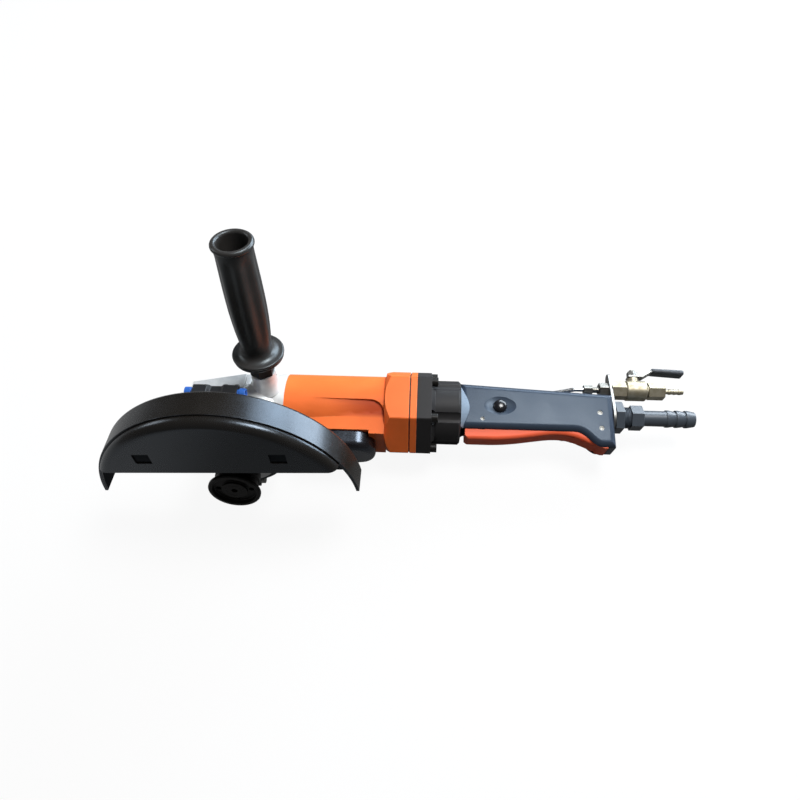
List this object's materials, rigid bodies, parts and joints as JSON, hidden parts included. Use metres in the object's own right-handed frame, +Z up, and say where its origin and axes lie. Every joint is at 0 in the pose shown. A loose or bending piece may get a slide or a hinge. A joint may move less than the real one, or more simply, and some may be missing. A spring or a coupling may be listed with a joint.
{
  "type": "air angle grinder",
  "caption": "Pneumatic angle grinder with half wheel guard, side handle, lever throttle, hose barb and a water feed with ball valve.",
  "frame": {"origin": "centre of the lower flat of the hexagonal motor flange, on the surface the tool lies on", "axes": "+X to the rear along the motor axis, +Z up, -Y to the throttle lever and the wheel side"},
  "size_m": [0.5935, 0.1949, 0.2511],
  "materials": {
    "cast_aluminium": "bare casting",
    "turned_aluminium": "turned bands",
    "zinc_steel": "zinc plated",
    "machined_steel": "ground",
    "black_steel": "black oxide",
    "guard_black": "black satin powder coat",
    "handle_black": "glossy moulded plastic",
    "housing_orange": "satin paint on a casting",
    "collar_black": "black anodised",
    "grip_slate": "slate satin coat",
    "lever_red": "red orange satin paint",
    "hood_black": "glossy black",
    "cast_iron": "machined",
    "vane_resin": "laminated resin",
    "seal_rubber": "moulded",
    "sleeve_grey": "dipped vinyl",
    "inlet_grey": "dark grey phosphate",
    "brass": "dull nickel washed brass",
    "fitting_steel": "dark plated",
    "pipe_steel": "drawn",
    "union_black": "moulded",
    "release_blue": "moulded",
    "button_black": "moulded"
  },
  "bodies": {
    "tool": {"gear_head": "cast_aluminium", "water_bracket": "cast_aluminium", "bearing_cap": "turned_aluminium", "spindle_front_bearing": "machined_steel", "spindle_rear_bearing": "machined_steel", "cap_screws": "black_steel", "spindle_seal": "seal_rubber", "handle_socket": "cast_aluminium", "side_handle_stud": "black_steel", "side_handle_grip": "handle_black", "bracket_screws": "zinc_steel", "union_body": "union_black", "water_elbow": "brass", "motor_housing": "housing_orange", "exhaust_hood": "hood_black", "cylinder_liner": "cast_iron", "front_end_plate": "cast_iron", "rear_end_plate": "cast_iron", "motor_front_bearing": "machined_steel", "motor_rear_bearing": "machined_steel", "flange_gasket": "seal_rubber", "end_cover": "housing_orange", "rear_collar": "collar_black", "collar_screws": "black_steel", "grip": "grip_slate", "pivot_pin": "zinc_steel", "stop_pin": "zinc_steel", "tail_dowel": "zinc_steel", "valve_bushing": "brass", "rear_bracket": "zinc_steel", "inlet_bushing": "inlet_grey", "hose_barb": "inlet_grey", "bulkhead_fitting": "fitting_steel", "pipe_nut": "fitting_steel", "water_valve_body": "brass", "water_barb": "brass", "water_pipe": "pipe_steel"},
    "spindle": {"spindle": "black_steel", "bevel_gear": "machined_steel", "wheel_flange": "black_steel", "lock_nut": "black_steel"},
    "rotor": {"rotor": "machined_steel", "rotor_vanes": "vane_resin", "bevel_pinion": "machined_steel"},
    "guard": {"guard_shell": "guard_black", "guard_cover": "guard_black", "guard_clamp_band": "black_steel", "guard_clamp_screw": "zinc_steel"},
    "lever": {"throttle_lever": "lever_red"},
    "plunger": {"throttle_plunger": "machined_steel"},
    "button": {"lock_button": "button_black"},
    "water_handle": {"valve_ball_stem": "zinc_steel", "valve_handle": "zinc_steel", "handle_sleeve": "sleeve_grey", "handle_nut": "zinc_steel"},
    "front_release": {"release_collar_front": "release_blue"},
    "rear_release": {"release_collar_rear": "release_blue"}
  },
  "joints": [
    {"name": "spindle_spin", "type": "hinge", "parent": "tool", "child": "spindle", "pos_m": [-0.155, 0, 0.0405], "axis": [0, -0.9511, 0.309], "continuous": true},
    {"name": "rotor_spin", "type": "hinge", "parent": "tool", "child": "rotor", "pos_m": [0, 0, 0.0405], "axis": [1, 0, 0], "continuous": true},
    {"name": "guard_turn", "type": "hinge", "parent": "tool", "child": "guard", "pos_m": [-0.155, 0, 0.0405], "axis": [0, -0.9511, 0.309], "range_deg": [-35, 35]},
    {"name": "throttle_press", "type": "hinge", "parent": "tool", "child": "lever", "pos_m": [0.2115, -0.0187, 0.0405], "axis": [0, 0, -1], "range_deg": [0, 3.5], "stiffness_Nm_per_rad": 8, "springref_deg": -1.72},
    {"name": "plunger_push", "type": "slide", "parent": "tool", "child": "plunger", "axis": [0, 1, 0], "range_m": [0, 0.005]},
    {"name": "lock_button_push", "type": "slide", "parent": "tool", "child": "button", "axis": [0, 0, -1], "range_m": [0, 0.003], "stiffness_N_per_m": 600, "springref_m": -0.002},
    {"name": "water_valve_turn", "type": "hinge", "parent": "tool", "child": "water_handle", "pos_m": [0.2538, 0.0315, 0.0405], "axis": [0, -1, 0], "range_deg": [0, 90]},
    {"name": "front_release_push", "type": "slide", "parent": "tool", "child": "front_release", "axis": [1, 0, 0], "range_m": [0, 0.0012], "stiffness_N_per_m": 800, "springref_m": -0.001},
    {"name": "rear_release_push", "type": "slide", "parent": "tool", "child": "rear_release", "axis": [-1, 0, 0], "range_m": [0, 0.0012], "stiffness_N_per_m": 800, "springref_m": -0.001}
  ],
  "couplings": [
    {"joint": "rotor_spin", "follows": "spindle_spin", "ratio": -2},
    {"joint": "plunger_push", "follows": "throttle_press", "m_per_rad": 0.0815}
  ]
}
